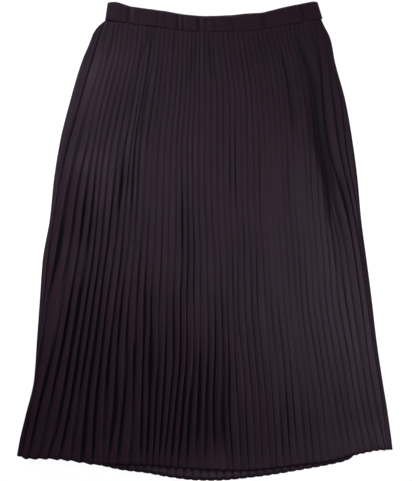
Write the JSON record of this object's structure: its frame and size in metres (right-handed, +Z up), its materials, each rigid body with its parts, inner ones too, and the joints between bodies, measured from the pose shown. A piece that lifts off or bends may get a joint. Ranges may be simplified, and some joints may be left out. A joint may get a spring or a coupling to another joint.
{
  "type": "pleated midi skirt",
  "caption": "Dark aubergine midi skirt with knife pleats and a gathered elastic waistband, laid flat on its back.",
  "frame": {"origin": "middle of the skirt's outline, on the surface it lies on", "axes": "+Y from the hem to the waist, +X across the skirt to its wearer's left, +Z up out of the front"},
  "size_m": [0.6442, 0.8252, 0.0209],
  "materials": {
    "front_cloth": "dark aubergine crepe with a soft sheen, heat-set pleats",
    "back_cloth": "dark aubergine crepe with a soft sheen, heat-set pleats",
    "band_cloth": "dark aubergine crepe gathered over an elastic"
  },
  "bodies": {
    "root": {"front_panel": "front_cloth", "back_panel": "back_cloth", "waistband": "band_cloth"}
  },
  "joints": []
}
